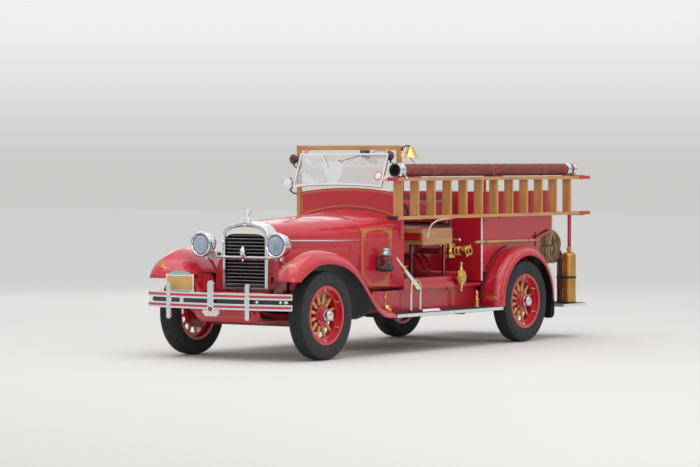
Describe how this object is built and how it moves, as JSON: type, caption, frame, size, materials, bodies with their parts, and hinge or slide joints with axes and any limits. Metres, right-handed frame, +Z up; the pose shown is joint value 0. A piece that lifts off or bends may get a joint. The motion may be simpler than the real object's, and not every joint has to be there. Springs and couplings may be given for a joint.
{
  "type": "fire engine",
  "caption": "Open-cab light fire engine of the late 1920s with wood-spoked wheels, pump, hose body, side ladder and hard suction hose.",
  "frame": {"origin": "on the ground, at the middle of the overall length and width", "axes": "+Z up, the front faces -Y, +X is the vehicle's left side"},
  "size_m": [1.654, 5.134, 1.884],
  "materials": {
    "engine_red": "gloss",
    "chrome": "polished",
    "black_paint": "gloss",
    "chassis_black": "satin",
    "cast_grey": "matte",
    "varnished_wood": "gloss",
    "tyre_rubber": "matte",
    "hose_rubber": "matte",
    "red_leather": "satin",
    "clear_glass": "clear",
    "brass": "polished",
    "board_rubber": "matte",
    "wheel_black": "gloss"
  },
  "bodies": {
    "chassis": {"bumper": "chrome", "cab_floor": "engine_red", "cowl": "engine_red", "drive_line": "chassis_black", "engine_block": "cast_grey", "exhaust": "chassis_black", "extinguisher": "brass", "frame_rails": "engine_red", "front_axle": "chassis_black", "front_fenders": "engine_red", "front_panels": "engine_red", "headlamps": "chrome", "hood_hinge": "engine_red", "hose_body": "engine_red", "ladder": "varnished_wood", "ladder_brackets": "engine_red", "leaf_springs": "chassis_black", "pump_fittings": "brass", "pump_piping": "cast_grey", "radiator_shell": "chrome", "radiator_shutters": "black_paint", "rear_axle": "chassis_black", "rear_fenders": "engine_red", "running_boards": "board_rubber", "seat_cushions": "red_leather", "seat_frame": "varnished_wood", "sign_board": "engine_red", "steering_column": "black_paint", "suction_hose": "hose_rubber", "tailboard": "board_rubber", "windshield_frame": "varnished_wood", "windshield_glass": "clear_glass", "windshield_sash": "chrome"},
    "knuckle_left": {"knuckle_left": "chassis_black"},
    "knuckle_right": {"knuckle_right": "chassis_black"},
    "tie_rod": {"tie_rod": "chassis_black"},
    "steering_wheel": {"steering_wheel": "wheel_black"},
    "hood_left": {"hood_left": "engine_red"},
    "hood_right": {"hood_right": "engine_red"},
    "wheel_front_left": {"wheel_front_left": "varnished_wood", "tyre_front_left": "tyre_rubber"},
    "wheel_front_right": {"wheel_front_right": "varnished_wood", "tyre_front_right": "tyre_rubber"},
    "wheel_rear_left": {"wheel_rear_left": "varnished_wood", "tyre_rear_left": "tyre_rubber"},
    "wheel_rear_right": {"wheel_rear_right": "varnished_wood", "tyre_rear_right": "tyre_rubber"}
  },
  "joints": [
    {"name": "steer_left", "type": "hinge", "parent": "chassis", "child": "knuckle_left", "pos_m": [0.6, -1.913, 0.393], "axis": [0, 0, 1], "range_deg": [-28, 28]},
    {"name": "steer_right", "type": "hinge", "parent": "chassis", "child": "knuckle_right", "pos_m": [-0.6, -1.913, 0.393], "axis": [0, 0, 1], "range_deg": [-28, 28]},
    {"name": "tie_rod_slide", "type": "slide", "parent": "chassis", "child": "tie_rod", "axis": [1, 0, 0], "range_m": [-0.075, 0.075]},
    {"name": "steering_wheel_turn", "type": "hinge", "parent": "chassis", "child": "steering_wheel", "pos_m": [0.3, -0.268, 1.32], "axis": [0, 0.6691, 0.7431], "range_deg": [-340, 340]},
    {"name": "hood_left_lift", "type": "hinge", "parent": "chassis", "child": "hood_left", "pos_m": [0, -1.413, 1.22909], "axis": [0, -0.9985, -0.0545], "range_deg": [0, 55]},
    {"name": "hood_right_lift", "type": "hinge", "parent": "chassis", "child": "hood_right", "pos_m": [0, -1.413, 1.22909], "axis": [0, 0.9985, 0.0545], "range_deg": [0, 55]},
    {"name": "wheel_front_left_spin", "type": "hinge", "parent": "knuckle_left", "child": "wheel_front_left", "pos_m": [0.711, -1.913, 0.393], "axis": [1, 0, 0], "continuous": true},
    {"name": "wheel_front_right_spin", "type": "hinge", "parent": "knuckle_right", "child": "wheel_front_right", "pos_m": [-0.711, -1.913, 0.393], "axis": [1, 0, 0], "continuous": true},
    {"name": "wheel_rear_left_spin", "type": "hinge", "parent": "chassis", "child": "wheel_rear_left", "pos_m": [0.711, 1.389, 0.393], "axis": [1, 0, 0], "continuous": true},
    {"name": "wheel_rear_right_spin", "type": "hinge", "parent": "chassis", "child": "wheel_rear_right", "pos_m": [-0.711, 1.389, 0.393], "axis": [1, 0, 0], "continuous": true}
  ],
  "couplings": [
    {"joint": "steer_right", "follows": "steer_left", "ratio": 1},
    {"joint": "tie_rod_slide", "follows": "steer_left", "m_per_rad": -0.15},
    {"joint": "steering_wheel_turn", "follows": "steer_left", "ratio": 12}
  ]
}
